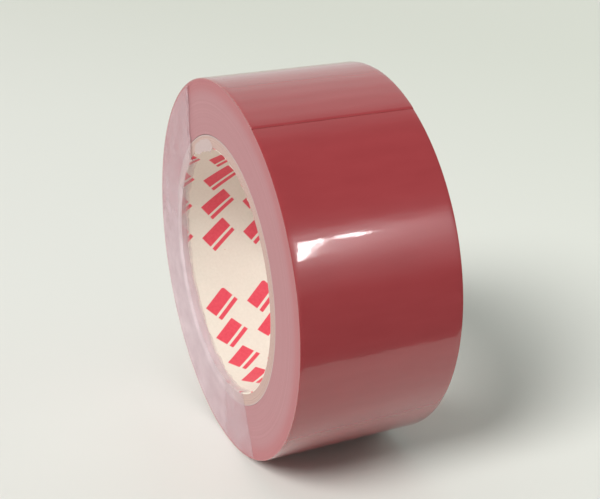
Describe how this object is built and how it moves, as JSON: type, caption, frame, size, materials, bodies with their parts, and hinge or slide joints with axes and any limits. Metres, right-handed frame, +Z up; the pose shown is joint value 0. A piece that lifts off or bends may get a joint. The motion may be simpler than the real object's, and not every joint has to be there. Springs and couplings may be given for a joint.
{
  "type": "adhesive tape roll",
  "caption": "Full roll of glossy red vinyl tape on a printed paperboard core, with a liftable tape end and a clinging side film.",
  "frame": {"origin": "centre of the core's bore, half way along it", "axes": "+Y along the roll's axis, from the near side with the film to the far side; +Z up with the roll standing on its tread; +X to the right seen from the near side"},
  "size_m": [0.1181, 0.0501, 0.1182],
  "materials": {
    "liner_paper": "white printed paper",
    "core_board": "grey board",
    "cover_paper": "smooth paper",
    "wound_vinyl": "slit edges, satin",
    "vinyl_backing": "calendered gloss",
    "adhesive": "tacky rubber coating",
    "clear_film": "clear film"
  },
  "bodies": {
    "roll": {"core_liner": "liner_paper", "core_ply_1": "core_board", "core_ply_2": "core_board", "core_ply_3": "core_board", "core_ply_4": "core_board", "core_ply_5": "core_board", "core_cover": "cover_paper", "wound_laps": "wound_vinyl", "outer_lap_adhesive": "adhesive", "outer_lap_backing": "vinyl_backing"},
    "tape_end": {"free_end_adhesive": "adhesive", "free_end_backing": "vinyl_backing"},
    "film": {"side_film": "clear_film"}
  },
  "joints": [
    {"name": "tape_end_peel", "type": "hinge", "parent": "roll", "child": "tape_end", "pos_m": [0.00368, 0, 0.05909], "axis": [0, -1, 0], "range_deg": [0, 80]},
    {"name": "film_peel", "type": "hinge", "parent": "roll", "child": "film", "pos_m": [0, -0.02505, 0], "axis": [-0.4067, 0, 0.9135], "range_deg": [0, 75]}
  ]
}
